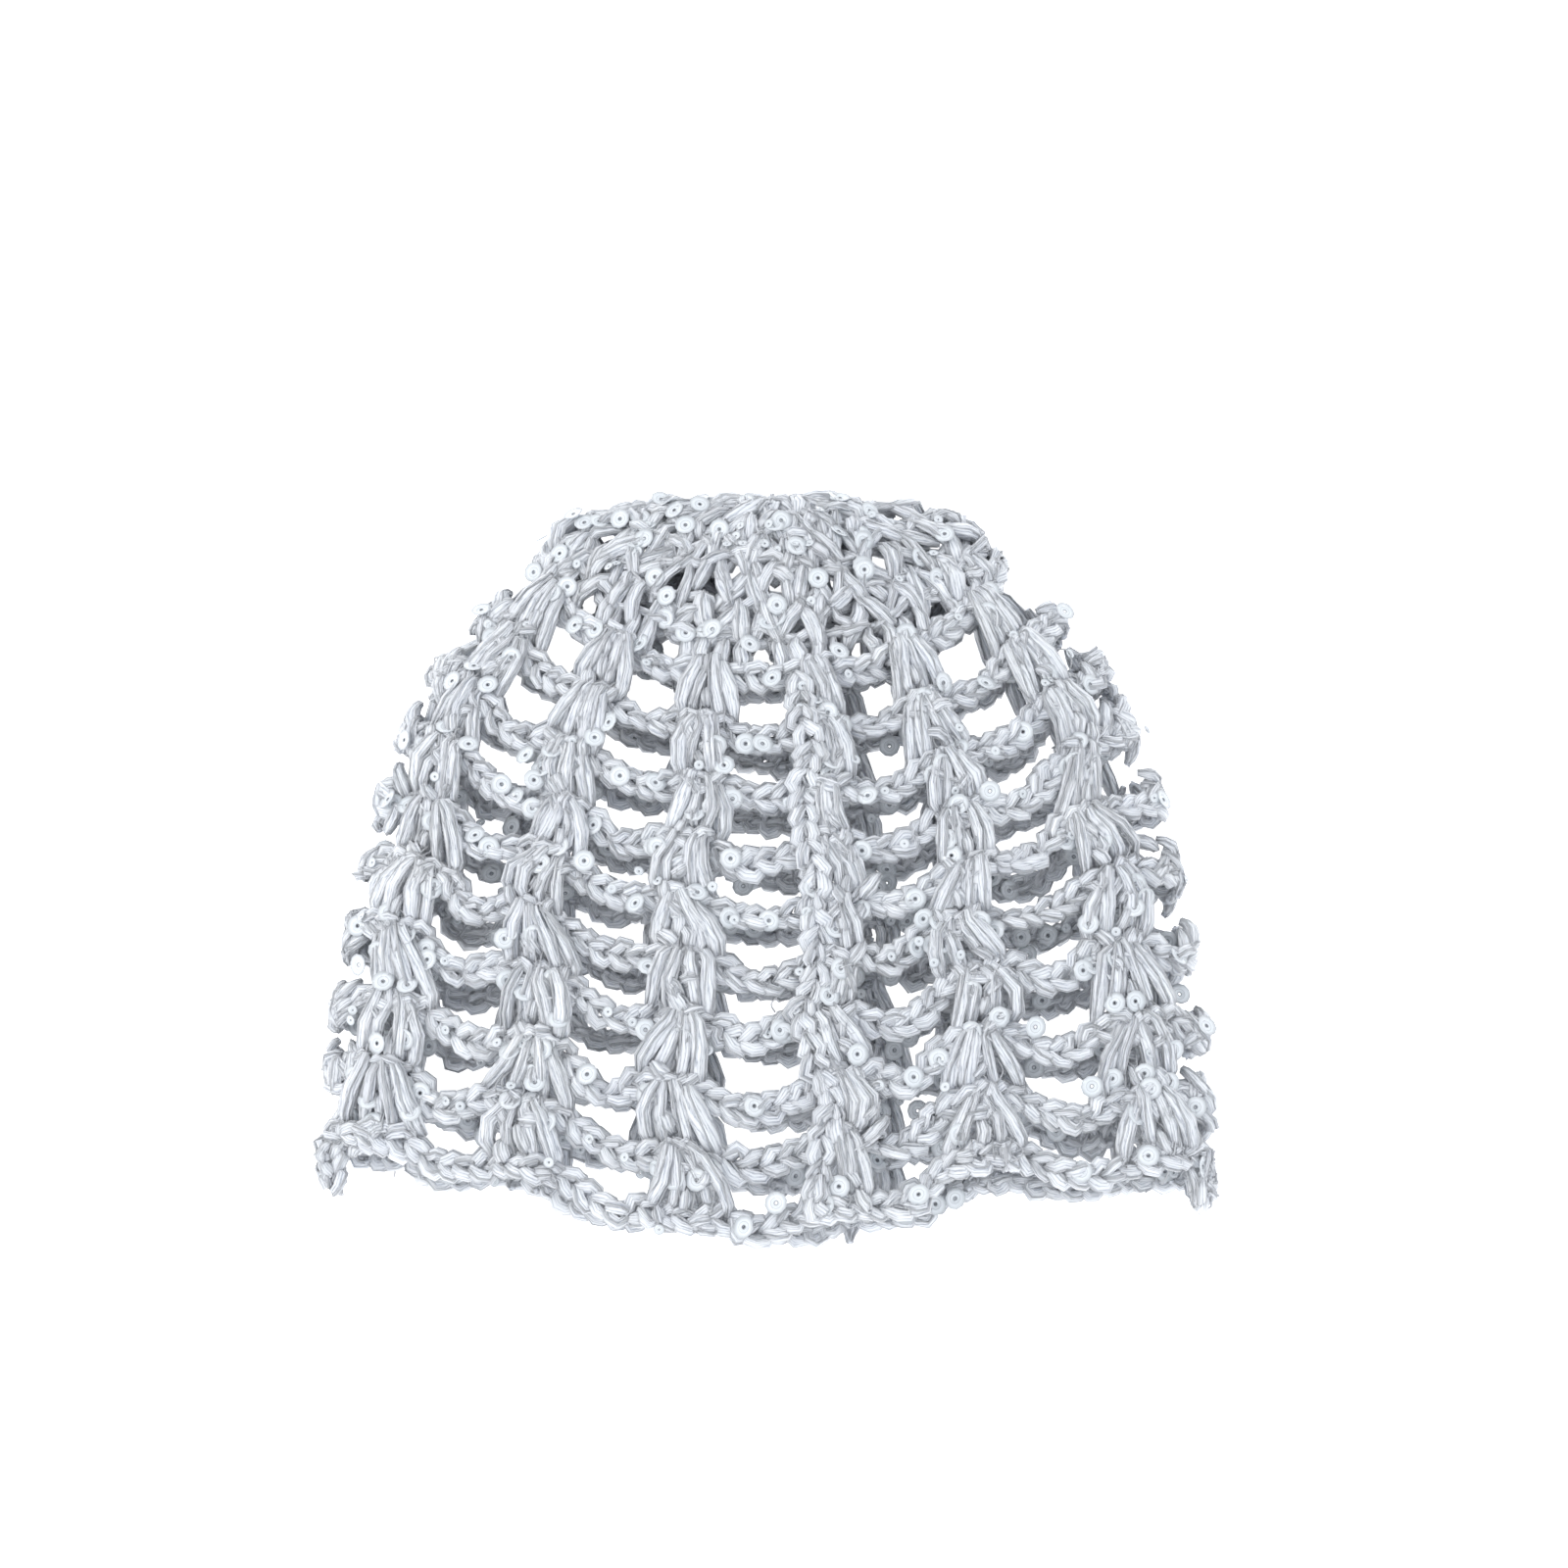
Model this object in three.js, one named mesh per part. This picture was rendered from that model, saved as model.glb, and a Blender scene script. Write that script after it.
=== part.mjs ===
// Openwork crochet beanie lying flat on its back layer, crown towards +Y and hem towards -Y, in millimetres.
// It is worked in rounds from the crown down: a dense disc, then nine rounds of twelve shells joined by chain
// swags. Each round is one closed ring that hangs from the ring above it at the twelve ribs, where the shells
// stack up.
import * as THREE from "three";

// Driving sizes of the beanie and its yarn work
const CROWN_Y = 106.6; // y of the crown's centre, which puts the origin under the middle of the hat
const RIBS = 12; // shells in each round, and so ribs round the hat
const SHELL_ROUNDS = 9;
const CROWN_ROUNDS = 4; // row steps from the centre to the first shells, about seven dense rounds of stitches
const CENTRE_HEIGHT = 14; // height of the crown's centre above the surface
const FOLD_HEIGHT = 9.5; // height of the middle of the fabric at the two side folds
const HALF_THICK = 3; // half of the fabric's thickness at the ribs and the crown
const CHAIN_HALF_THICK = 2.3; // half of the thickness of a chain swag
const CHAIN_WIDTH = 5; // width of a chain across its length
const APEX_HALF = 3.2; // half of a shell's width where its posts start
const SHELL_BULGE = 2.6; // how far a shell's lower edge stands out over the round below
const SEAM_GAP = 0.22; // each ring stays this far from the row line it shares with its neighbour
const EDGE_BEVEL = 1.4; // rounding of a ring's edges
const FIRST_RIB = 0.39; // ribs between the left fold and the first rib on the front
const CROWN_TWIST = 0.1; // extra turn of the crown against the hem, in ribs

// The flat-laid form, one line for each row line from the crown's centre (row -4) to the hem (row 9). A line
// gives the row, the fold's distance from the middle, the distances down from the crown's centre along the
// fold, the front's middle and the back's middle, and the heights of the front's and the back's middle.
const ROWS = [
  [-4, 0, 0, 0, 0, 14, 14],
  [-3, 20, 0.1, 7.5, 6, 24, 4.6],
  [-2, 40, 0.3, 22, 19, 28, 3],
  [-1, 57.5, 3.5, 42.5, 36.5, 29, 3],
  [0, 69, 16, 60.5, 55, 29.5, 3],
  [1, 83.5, 32, 78.5, 74, 29.5, 3],
  [2, 97, 49, 96, 92.5, 29, 3],
  [3, 105, 68, 112.5, 110, 28.5, 3],
  [4, 110.5, 89, 128.5, 126.5, 28, 3],
  [5, 114.5, 110, 143.5, 142.5, 27.5, 3],
  [6, 117.5, 131.5, 159.5, 159.5, 27, 3],
  [7, 119.5, 153, 176.5, 177.5, 26.5, 3],
  [8, 120, 173, 193.5, 195, 26, 3],
  [9, 118.5, 191, 209.5, 210, 25.5, 3],
].map(([row, halfWidth, foldDown, frontDown, backDown, frontHeight, backHeight]) => ({
  row,
  halfWidth,
  foldDown,
  frontDown,
  backDown,
  frontHeight,
  backHeight,
}));

// How each rib strays from even spacing: aside in ribs, flare in ribs more aside at the hem, and drop in
// millimetres at the hem
const RIB_STRAYS = [
  { rib: 0, aside: 0.09, flare: -0.09, drop: -6 },
  { rib: 1, aside: 0.04, flare: 0.05, drop: -6.5 },
  { rib: 2, aside: 0.04, flare: 0, drop: 5.5 },
  { rib: 3, aside: -0.01, flare: 0.07, drop: 0.5 },
  { rib: 4, aside: -0.06, flare: 0.08, drop: -10.5 },
  { rib: 5, aside: -0.03, flare: 0.22, drop: 2.5 },
  { rib: 6, aside: 0.14, flare: -0.16, drop: 6 },
  { rib: 7, aside: 0.19, flare: 0, drop: -7 },
  { rib: 8, aside: -0.06, flare: -0.03, drop: -1 },
  { rib: 9, aside: 0.2, flare: -0.03, drop: -1.5 },
  { rib: 10, aside: 0.26, flare: -0.04, drop: -6 },
  { rib: 11, aside: 0.16, flare: 0.1, drop: -2.5 },
];

const clamp = (value, low, high) => Math.min(high, Math.max(low, value));
const lerp = (a, b, t) => a + (b - a) * t;
const smooth = (t) => t * t * (3 - 2 * t);

// Catmull-Rom through four evenly spaced values
function throughFour(a, b, c, d, t) {
  const square = (2 * a - 5 * b + 4 * c - d) * t * t;
  const cube = (3 * b - a - 3 * c + d) * t * t * t;
  return 0.5 * (2 * b + (c - a) * t + square + cube);
}

// A column of ROWS at any row value, carried on in a straight line past the hem
function rowValue(column, row) {
  const last = ROWS.length - 1;
  const at = Math.max(0, row + CROWN_ROUNDS);
  const pick = (j) => ROWS[clamp(j, 0, last)][column];
  if (at > last) return pick(last) + (pick(last) - pick(last - 1)) * (at - last);
  const i = Math.min(Math.floor(at), last - 1);
  return throughFour(pick(i - 1), pick(i), pick(i + 1), pick(i + 2), at - i);
}

// A column of RIB_STRAYS at any rib value, easing from each rib to the next round the hat
function ribStray(column, rib) {
  const at = ((rib % RIBS) + RIBS) % RIBS;
  const i = Math.floor(at);
  return lerp(RIB_STRAYS[i][column], RIB_STRAYS[(i + 1) % RIBS][column], smooth(at - i));
}

// The level loop of one row: from the left fold over the front to the right fold and back underneath,
// as points with the length run so far. Front and back are shallow arcs across, and the folds are round.
const LOOP_STEPS = 360;
const loops = new Map();
function levelLoop(row) {
  if (loops.has(row)) return loops.get(row);
  const width = rowValue("halfWidth", row);
  const foldDown = rowValue("foldDown", row);
  const frontDown = rowValue("frontDown", row);
  const backDown = rowValue("backDown", row);
  const flat = smooth(clamp((row + CROWN_ROUNDS) / 3, 0, 1)); // 0 at the round crown, 1 on the flat part
  const lowEdge = clamp(row / 6, 0, 1); // rows are half ellipses at the crown and narrower arcs at the hem
  const foldHeight = lerp(CENTRE_HEIGHT, FOLD_HEIGHT, flat);
  const frontHeight = rowValue("frontHeight", row);
  const backHeight = Math.max(HALF_THICK, rowValue("backHeight", row));
  const points = [];
  for (let i = 0; i <= LOOP_STEPS; i++) {
    const turn = Math.PI - (2 * Math.PI * i) / LOOP_STEPS;
    const across = Math.cos(turn);
    const front = i < LOOP_STEPS / 2;
    const inside = Math.max(0, 1 - across * across);
    const round = Math.sqrt(inside);
    const fold = Math.cbrt(Math.max(0, 1 - Math.abs(across) ** 5));
    const arched = (6 * fold + 12 * inside) / 18;
    const laid = Math.min(1, 1.15 * Math.max(0, 1 - across ** 4) ** 0.25);
    const down = front
      ? lerp(foldDown, frontDown, inside ** lerp(0.6, 1.4, lowEdge))
      : lerp(foldDown, backDown, inside ** lerp(0.6, 1.2, lowEdge));
    const height = front
      ? lerp(foldHeight, frontHeight, lerp(round, arched, flat))
      : lerp(foldHeight, backHeight, lerp(round, laid, flat));
    points.push(new THREE.Vector3(width * across, CROWN_Y - down, height));
  }
  const run = [0];
  for (let i = 1; i < points.length; i++) run.push(run[i - 1] + points[i].distanceTo(points[i - 1]));
  const made = { points, run, length: run[LOOP_STEPS] };
  loops.set(row, made);
  return made;
}

// Distance between two ribs along a row, in millimetres
const ribSpacing = (row) => levelLoop(row).length / RIBS;

// Height of one row at a rib, in millimetres along the fabric
function rowHeight(rib, row) {
  return hatPoint(rib, row + 0.5).distanceTo(hatPoint(rib, row - 0.5));
}

// A point of the fabric's middle surface at any rib and row value
function hatPoint(rib, row) {
  const round = (2 * Math.PI * rib) / RIBS;
  const wander = 0.05 * Math.sin(1.9 * row + 4 * round) + 0.03 * Math.sin(3.1 * row - 5 * round);
  const lowered = Math.max(0, row) / SHELL_ROUNDS;
  const dropRows = (ribStray("drop", rib) * lowered ** 3) / 18;
  const swayRows = 0.05 * Math.sin(3 * round + 0.8 * row) * clamp(row / 2, 0, 1);
  const loop = levelLoop(row + dropRows + swayRows);
  const twist = CROWN_TWIST * (1 - clamp(row / 5, 0, 1));
  const aside = ribStray("aside", rib) + ribStray("flare", rib) * lowered ** 3;
  const share = (rib + FIRST_RIB + twist + aside + (wander * clamp(row, 0, 2)) / 2) / RIBS;
  const length = (((share % 1) + 1) % 1) * loop.length;
  let low = 0;
  let high = LOOP_STEPS;
  while (high - low > 1) {
    const middle = (low + high) >> 1;
    if (loop.run[middle] <= length) low = middle;
    else high = middle;
  }
  const t = (length - loop.run[low]) / Math.max(1e-9, loop.run[high] - loop.run[low]);
  return loop.points[low].clone().lerp(loop.points[high], t);
}

// The fabric's outward direction there
function outward(rib, row) {
  const along = hatPoint(rib + 0.06, row).sub(hatPoint(rib - 0.06, row));
  const down = hatPoint(rib, row + 0.06).sub(hatPoint(rib, row - 0.06));
  return down.cross(along).normalize();
}

// A point off the middle surface, outwards in millimetres, and never below the surface that the hat lies on
function offSurface(rib, row, out) {
  const point = hatPoint(rib, row).addScaledVector(outward(rib, row), out);
  point.z = Math.max(0, point.z);
  return point;
}

// How free a place is to stand out: 1 on the front and the folds, 0 where the hat lies on the surface
const freedom = (rib, row) => clamp((outward(rib, row).z + 0.9) / 0.9, 0, 1);

// White cotton yarn, soft and nearly matt
const YARN = new THREE.MeshStandardMaterial({ color: 0xdde2ea, roughness: 0.85, metalness: 0 });

// A closed mesh from faces that are lists of points
function meshOf(name, quads) {
  const positions = [];
  for (const corners of quads)
    for (let i = 2; i < corners.length; i++)
      for (const p of [corners[0], corners[i - 1], corners[i]]) positions.push(p.x, p.y, p.z);
  const geometry = new THREE.BufferGeometry();
  geometry.setAttribute("position", new THREE.Float32BufferAttribute(positions, 3));
  geometry.computeVertexNormals();
  const mesh = new THREE.Mesh(geometry, YARN.clone());
  mesh.name = name;
  return mesh;
}

// Crown disc: dense rounds worked from the centre, folded over the top edge, with a ring of small holes
// between the ribs in its last round. It is a wall of even thickness on a grid of stations.
function crownDisc() {
  const holeRows = [-0.82, -0.42];
  const rows = [-3.45, -2.75, -1.9, -1.3, ...holeRows];
  const ribs = [];
  for (let rib = 0; rib < RIBS; rib++) ribs.push(rib, rib + 0.34, rib + 0.5, rib + 0.66);
  const rim = (rib) => -SEAM_GAP / rowHeight(rib, 0);
  const wall = (out) =>
    ribs.map((rib) => [...rows, rim(rib)].map((row) => offSurface(rib, row, row < -0.1 ? out : out * 0.8)));
  const outer = wall(HALF_THICK);
  const inner = wall(-HALF_THICK);
  const centre = new THREE.Vector3(0, CROWN_Y, CENTRE_HEIGHT);
  const centreOut = centre.clone().add(new THREE.Vector3(0, HALF_THICK, 0));
  const centreIn = centre.clone().add(new THREE.Vector3(0, -HALF_THICK, 0));
  const last = rows.length;
  const hole = (i, j) => (i % 4 === 1 || i % 4 === 2) && j === rows.length - 2;
  const faces = [];
  ribs.forEach((_, i) => {
    const next = (i + 1) % ribs.length;
    faces.push([centreOut, outer[i][0], outer[next][0]]);
    faces.push([centreIn, inner[next][0], inner[i][0]]);
    for (let j = 0; j < last; j++) {
      if (hole(i, j)) continue;
      faces.push([outer[i][j], outer[i][j + 1], outer[next][j + 1], outer[next][j]]);
      faces.push([inner[i][j], inner[next][j], inner[next][j + 1], inner[i][j + 1]]);
      if (hole(i, j + 1) || j === last - 1)
        faces.push([outer[i][j + 1], inner[i][j + 1], inner[next][j + 1], outer[next][j + 1]]);
      if (j > 0 && hole(i, j - 1))
        faces.push([outer[i][j], outer[next][j], inner[next][j], inner[i][j]]);
      const before = (i + ribs.length - 1) % ribs.length;
      if (hole(before, j)) faces.push([outer[i][j], inner[i][j], inner[i][j + 1], outer[i][j + 1]]);
      if (hole(next, j))
        faces.push([outer[next][j], outer[next][j + 1], inner[next][j + 1], inner[next][j]]);
    }
  });
  return meshOf("crown_disc", faces);
}

// One shell round: a closed ring of twelve fans of posts, each from an apex on the row line above to the
// chain on the row line below, and of twelve chain swags that sag between them. Its section has six corners.
function shellRound(number) {
  const top = number - 1;
  const spacing = ribSpacing(top + 1);
  const shellHalf = lerp(7.5, 11.5, top / (SHELL_ROUNDS - 1));
  const sag = lerp(2.6, 5, clamp(top / 4, 0, 1));
  const fanStations = [
    { aside: -shellHalf, rise: 0, thick: 0.9 },
    { aside: -APEX_HALF, rise: 1, thick: 1 },
    { aside: 0, rise: 1, thick: 0.78 },
    { aside: APEX_HALF, rise: 1, thick: 1 },
    { aside: shellHalf, rise: 0, thick: 0.9 },
  ];
  const swagShares = [0.25, 0.5, 0.75];
  const sections = [];
  // Section at one station: rise is how far it climbs to the apex, 1 being all the way
  function section(rib, rise, halfThick, sink, bulge) {
    const height = rowHeight(rib, top + 0.5);
    const gap = SEAM_GAP / height;
    const bevel = EDGE_BEVEL / height;
    const low = top + 1 - gap + sink / height;
    const high = low - CHAIN_WIDTH / height;
    const start = lerp(high, top + gap, rise);
    const stand = SHELL_BULGE * bulge * freedom(rib, low);
    return [
      offSurface(rib, start, 0),
      offSurface(rib, start + bevel, halfThick),
      offSurface(rib, low - bevel, halfThick + stand),
      offSurface(rib, low, stand),
      offSurface(rib, low - bevel, stand * 0.6 - halfThick),
      offSurface(rib, start + bevel, -halfThick),
    ];
  }
  for (let rib = 0; rib < RIBS; rib++) {
    for (const { aside, rise, thick } of fanStations) {
      const at = rib + aside / spacing;
      const relief = lerp(1, thick, freedom(at, top + 0.5)); // shells under the hat are pressed flat
      sections.push(section(at, rise, HALF_THICK * relief, 0, rise));
    }
    for (const share of swagShares) {
      const at = rib + lerp(shellHalf, spacing - shellHalf, share) / spacing;
      sections.push(section(at, 0, CHAIN_HALF_THICK, sag * 4 * share * (1 - share), 0));
    }
  }
  const faces = [];
  sections.forEach((here, i) => {
    const next = sections[(i + 1) % sections.length];
    here.forEach((corner, j) => {
      const k = (j + 1) % here.length;
      faces.push([corner, here[k], next[k], next[j]]);
    });
  });
  return meshOf("shell_round_" + number, faces);
}

const beanie = new THREE.Group();
beanie.add(crownDisc());
for (let number = 1; number <= SHELL_ROUNDS; number++) beanie.add(shellRound(number));

export default beanie;
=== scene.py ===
import math
import bpy
import numpy as np
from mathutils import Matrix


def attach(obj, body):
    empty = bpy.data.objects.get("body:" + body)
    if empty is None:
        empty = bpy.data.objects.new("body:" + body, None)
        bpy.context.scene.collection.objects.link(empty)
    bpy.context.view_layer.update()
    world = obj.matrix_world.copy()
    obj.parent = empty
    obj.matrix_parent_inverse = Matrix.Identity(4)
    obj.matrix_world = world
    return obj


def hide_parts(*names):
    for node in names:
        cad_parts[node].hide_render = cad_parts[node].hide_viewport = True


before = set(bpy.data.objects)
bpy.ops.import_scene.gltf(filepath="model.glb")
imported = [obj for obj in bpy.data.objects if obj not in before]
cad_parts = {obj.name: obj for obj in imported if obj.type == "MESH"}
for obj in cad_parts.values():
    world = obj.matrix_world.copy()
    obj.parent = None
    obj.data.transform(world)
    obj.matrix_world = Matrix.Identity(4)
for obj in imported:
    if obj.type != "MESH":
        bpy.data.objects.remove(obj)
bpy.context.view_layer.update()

# View and light. The photograph looks down on the flat hat from above its hem, 18 degrees off the
# vertical, in soft daylight from the upper left. The surface under the hat is plain and pale, and glows
# a little, like the whited-out ground of the picture.
VIEW_POINT = (0.00415, -0.1714, 0.60556)
camera = bpy.data.objects.new("camera", bpy.data.cameras.new("camera"))
camera.data.lens = 50
camera.data.sensor_width = 36
camera.location = VIEW_POINT
camera.rotation_euler = (math.radians(18), 0, 0)
bpy.context.scene.collection.objects.link(camera)
bpy.context.scene.camera = camera
bpy.context.scene.view_settings.view_transform = "Standard"

for name, energy, size, place, colour in (
    ("key_light", 4.8, 0.7, (-0.8, 0.0, 0.95), (1.0, 0.99, 0.97)),
    ("fill_light", 2.4, 1.2, (0.8, -0.7, 1.1), (0.95, 0.97, 1.0)),
):
    lamp = bpy.data.objects.new(name, bpy.data.lights.new(name, "AREA"))
    lamp.data.energy = energy
    lamp.data.size = size
    lamp.data.color = colour
    lamp.location = place
    lean = math.atan2(math.hypot(place[0], place[1]), place[2])
    lamp.rotation_euler = (lean, 0, math.atan2(place[1], place[0]) + math.pi / 2)
    bpy.context.scene.collection.objects.link(lamp)

world = bpy.data.worlds.new("studio")
world.use_nodes = True
world.node_tree.nodes["Background"].inputs["Color"].default_value = (0.93, 0.96, 1.0, 1)
world.node_tree.nodes["Background"].inputs["Strength"].default_value = 1.07
bpy.context.scene.world = world

floor_mesh = bpy.data.meshes.new("floor")
floor_mesh.from_pydata([(-4, -4, 0), (4, -4, 0), (4, 4, 0), (-4, 4, 0)], [], [(0, 1, 2, 3)])
floor = bpy.data.objects.new("floor", floor_mesh)
bpy.context.scene.collection.objects.link(floor)
paper = bpy.data.materials.new("floor_paper")
paper.use_nodes = True
nodes, links = paper.node_tree.nodes, paper.node_tree.links
paper_shader = nodes["Principled BSDF"]
paper_shader.inputs["Roughness"].default_value = 0.9
paper_shader.inputs["Emission Color"].default_value = (1, 1, 1, 1)
paper_shader.inputs["Emission Strength"].default_value = 0.85


def feed(socket, value):
    """Puts a number or colour on an input socket, or joins another node's output to it."""
    if isinstance(value, bpy.types.NodeSocket):
        links.new(value, socket)
    else:
        socket.default_value = value


def noise_node(place, scale, detail=2.0, roughness=0.5):
    """The share from a Noise node that reads place."""
    node = nodes.new("ShaderNodeTexNoise")
    node.inputs["Scale"].default_value = scale
    node.inputs["Detail"].default_value = detail
    node.inputs["Roughness"].default_value = roughness
    feed(node.inputs["Vector"], place)
    return node.outputs["Fac"]


def mix_node(share, first, second, blend="MIX"):
    """The colour between first and second at share, or first times second where blend is MULTIPLY."""
    node = nodes.new("ShaderNodeMix")
    node.data_type = "RGBA"
    node.blend_type = blend
    feed(node.inputs[0], share)
    feed(node.inputs[6], first)
    feed(node.inputs[7], second)
    return node.outputs[2]


paper_place = nodes.new("ShaderNodeTexCoord").outputs["Object"]
paper_grain = noise_node(paper_place, 9)
paper_tone = mix_node(paper_grain, (0.93, 0.93, 0.93, 1), (0.96, 0.96, 0.96, 1))
links.new(paper_tone, paper_shader.inputs["Base Color"])
floor_mesh.materials.append(paper)

# Crown: the dense disc that the hat is begun from, worked round and round in a white cotton yarn of
# several fine strands. Seven rounds of posts fan from the centre, each closed by a chain edge, and
# leave small holes. All stitches follow the flat-laid form of the hat, which comes first.

# The form, in millimetres. Each row line runs from the left fold over the front to the right fold and
# back underneath. Rib 0 is the leftmost on the front, and rows go from the crown's centre at -4 to the
# hem at 9. Columns: half width, then distances down from the crown's centre at the fold, the front's
# middle and the back's middle, then the heights of the front's and the back's middle.
RIBS = 12
ROUNDS = 9
ROWS = np.array([
    [0, 0, 0, 0, 14, 14],
    [20, 0.1, 7.5, 6, 24, 4.6],
    [40, 0.3, 22, 19, 28, 3],
    [57.5, 3.5, 42.5, 36.5, 29, 3],
    [69, 16, 60.5, 55, 29.5, 3],
    [83.5, 32, 78.5, 74, 29.5, 3],
    [97, 49, 96, 92.5, 29, 3],
    [105, 68, 112.5, 110, 28.5, 3],
    [110.5, 89, 128.5, 126.5, 28, 3],
    [114.5, 110, 143.5, 142.5, 27.5, 3],
    [117.5, 131.5, 159.5, 159.5, 27, 3],
    [119.5, 153, 176.5, 177.5, 26.5, 3],
    [120, 173, 193.5, 195, 26, 3],
    [118.5, 191, 209.5, 210, 25.5, 3],
])
CROWN_Y = 106.6
FIRST_RIB = 0.39

# How far each rib strays from its even place: aside in ribs all the way down, aside in ribs more and
# more towards the hem, and in millimetres down at the hem.
STRAY_ASIDE = np.array([0.09, 0.04, 0.04, -0.01, -0.06, -0.03, 0.14, 0.19, -0.06, 0.2, 0.26, 0.16])
STRAY_FLARE = np.array([-0.09, 0.05, 0, 0.07, 0.08, 0.22, -0.16, 0, -0.03, -0.03, -0.04, 0.1])
STRAY_DROP = np.array([-6, -6.5, 5.5, 0.5, -10.5, 2.5, 6, -7, -1, -1.5, -6, -2.5])

# The form is worked out at row lines ROW_STEP rows apart, with LOOP_STEPS even steps round each. The
# folds' height eases from CENTRE_HEIGHT at the crown's centre to FOLD_HEIGHT three rows further down.
ROW_STEP = 0.04
LOOP_STEPS = 960
CENTRE_HEIGHT = 14
FOLD_HEIGHT = 9.5
LEAST_BACK_HEIGHT = 3


def smooth(t):
    """Eases t from 0 to 1."""
    return t * t * (3 - 2 * t)


def catmull_rom(a, b, c, d, t):
    """Points of the curve from b to c at t from 0 to 1, with a and d as the points before and after:
    half of 2b + (c - a)t + (2a - 5b + 4c - d)t^2 + (3b - a - 3c + d)t^3."""
    return 0.5 * (2 * b + (c - a) * t + (2 * a - 5 * b + 4 * c - d) * t**2 + (3 * b - a - 3 * c + d) * t**3)


def row_columns(row):
    """All columns of ROWS at each row value: Catmull-Rom between the lines, straight past the hem."""
    last = len(ROWS) - 1
    at = np.maximum(0, row + 4)
    i = np.minimum(np.floor(at).astype(int), last - 1)
    t = (at - i)[:, None]
    inside = catmull_rom(*(ROWS[np.clip(i + k, 0, last)] for k in (-1, 0, 1, 2)), t)
    past = ROWS[last] + (ROWS[last] - ROWS[last - 1]) * (at - last)[:, None]
    return np.where((at > last)[:, None], past, inside)


def form_table():
    """Points of every row line, evenly spaced along it. The front and back are shallow arcs across the
    hat and the folds are round, with the back pressed flat on the surface."""
    rows = np.arange(-4, 10.3, ROW_STEP)
    columns = row_columns(rows)
    width, fold_down, front_down, back_down, front_height, back_height = (c[:, None] for c in columns.T)
    turn = math.pi - 2 * math.pi * np.arange(LOOP_STEPS + 1) / LOOP_STEPS
    across = np.cos(turn)[None, :]
    front = (np.arange(LOOP_STEPS + 1) < LOOP_STEPS / 2)[None, :]
    flat = smooth(np.clip((rows + 4) / 3, 0, 1))[:, None]
    low_edge = np.clip(rows / 6, 0, 1)[:, None]
    fold_height = CENTRE_HEIGHT + (FOLD_HEIGHT - CENTRE_HEIGHT) * flat
    back_height = np.maximum(LEAST_BACK_HEIGHT, back_height)

    # Profiles across the hat, from 0 at the folds to 1 in the middle: a half circle for the crown's
    # centre, a low arch with full folds for the front, and a nearly flat one for the back.
    inside = np.maximum(0, 1 - across**2)
    round_side = np.sqrt(inside)
    fold = np.cbrt(np.maximum(0, 1 - np.abs(across) ** 5))
    arched = (6 * fold + 12 * inside) / 18
    laid = np.minimum(1, 1.15 * np.maximum(0, 1 - across**4) ** 0.25)
    down_front = fold_down + (front_down - fold_down) * inside ** (0.6 + 0.8 * low_edge)
    down_back = fold_down + (back_down - fold_down) * inside ** (0.6 + 0.6 * low_edge)
    high_front = fold_height + (front_height - fold_height) * (round_side + (arched - round_side) * flat)
    high_back = fold_height + (back_height - fold_height) * (round_side + (laid - round_side) * flat)
    line = np.stack(np.broadcast_arrays(
        width * across,
        CROWN_Y - np.where(front, down_front, down_back),
        np.where(front, high_front, high_back),
    ), axis=-1)
    leaps = np.linalg.norm(np.diff(line, axis=1), axis=2)
    run = np.concatenate([np.zeros((len(rows), 1)), np.cumsum(leaps, axis=1)], axis=1)
    even = np.linspace(0, 1, LOOP_STEPS + 1)
    return np.stack([
        np.stack([np.interp(even * length[-1], length, points[:, k]) for k in range(3)], axis=-1)
        for points, length in zip(line, run)
    ])


FORM = form_table()


def rib_stray(column, rib):
    """A rib's stray at any rib value, easing from each rib to the next round the hat."""
    at = np.mod(rib, RIBS)
    i = np.floor(at).astype(int) % RIBS
    return column[i] + (column[(i + 1) % RIBS] - column[i]) * smooth(at - np.floor(at))


def hat(rib, row):
    """Points of the fabric's middle surface at rib and row values."""
    rib, row = np.broadcast_arrays(np.asarray(rib, float), np.asarray(row, float))
    # Below the crown the ribs wander and sway a little, and towards the hem they flare and drop. The
    # crown is twisted by a tenth of a rib. The drop is given in millimetres, and a row near the hem is
    # 18 mm deep.
    lap = 2 * math.pi * rib / RIBS
    wander = 0.05 * np.sin(1.9 * row + 4 * lap) + 0.03 * np.sin(3.1 * row - 5 * lap)
    lowered = (np.maximum(0, row) / ROUNDS) ** 3
    drop = rib_stray(STRAY_DROP, rib) * lowered / 18
    aside = rib_stray(STRAY_ASIDE, rib) + rib_stray(STRAY_FLARE, rib) * lowered
    sway = 0.05 * np.sin(3 * lap + 0.8 * row) * np.clip(row / 2, 0, 1)
    twist = 0.1 * (1 - np.clip(row / 5, 0, 1))
    share = (rib + FIRST_RIB + twist + aside + wander * np.clip(row, 0, 2) / 2) / RIBS
    at_row = np.clip((row + drop + sway + 4) / ROW_STEP, 0, len(FORM) - 1.001)
    at_share = np.mod(share, 1) * LOOP_STEPS
    i = np.floor(at_row).astype(int)
    j = np.minimum(np.floor(at_share).astype(int), LOOP_STEPS - 1)
    u = (at_row - i)[..., None]
    v = (at_share - j)[..., None]
    near = FORM[i, j] * (1 - v) + FORM[i, j + 1] * v
    far = FORM[i + 1, j] * (1 - v) + FORM[i + 1, j + 1] * v
    return near * (1 - u) + far * u


def unit(v):
    """Vectors at length one."""
    return v / np.maximum(1e-9, np.linalg.norm(v, axis=-1, keepdims=True))


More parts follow.
